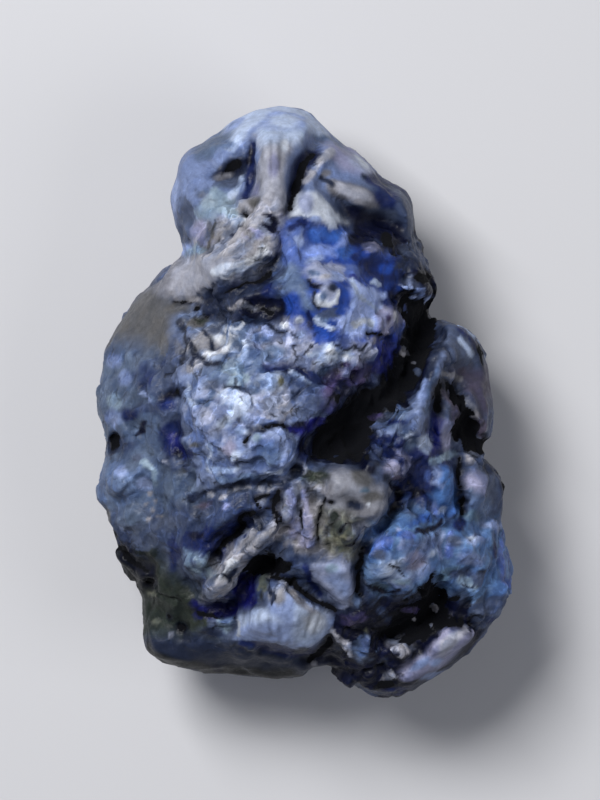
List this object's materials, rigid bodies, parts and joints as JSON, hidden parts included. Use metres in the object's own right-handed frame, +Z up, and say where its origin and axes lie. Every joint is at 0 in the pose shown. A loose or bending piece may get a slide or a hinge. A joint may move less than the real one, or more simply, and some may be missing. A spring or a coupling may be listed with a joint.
{
  "type": "rough sapphire",
  "caption": "Rough uncut sapphire, a natural lump of blue corundum with grey spar grown through it, deep dark clefts and a flat parting face underneath to rest on.",
  "frame": {"origin": "middle of the footprint, on the plane that the stone rests on", "axes": "X across the stone, Y along it towards its narrow end, Z up through the dome"},
  "size_m": [0.0294, 0.0421, 0.0222],
  "materials": {
    "rough corundum": "natural rough crystal faces, between glassy and frosted"
  },
  "bodies": {
    "root": {"sapphire": "rough corundum"}
  },
  "joints": []
}
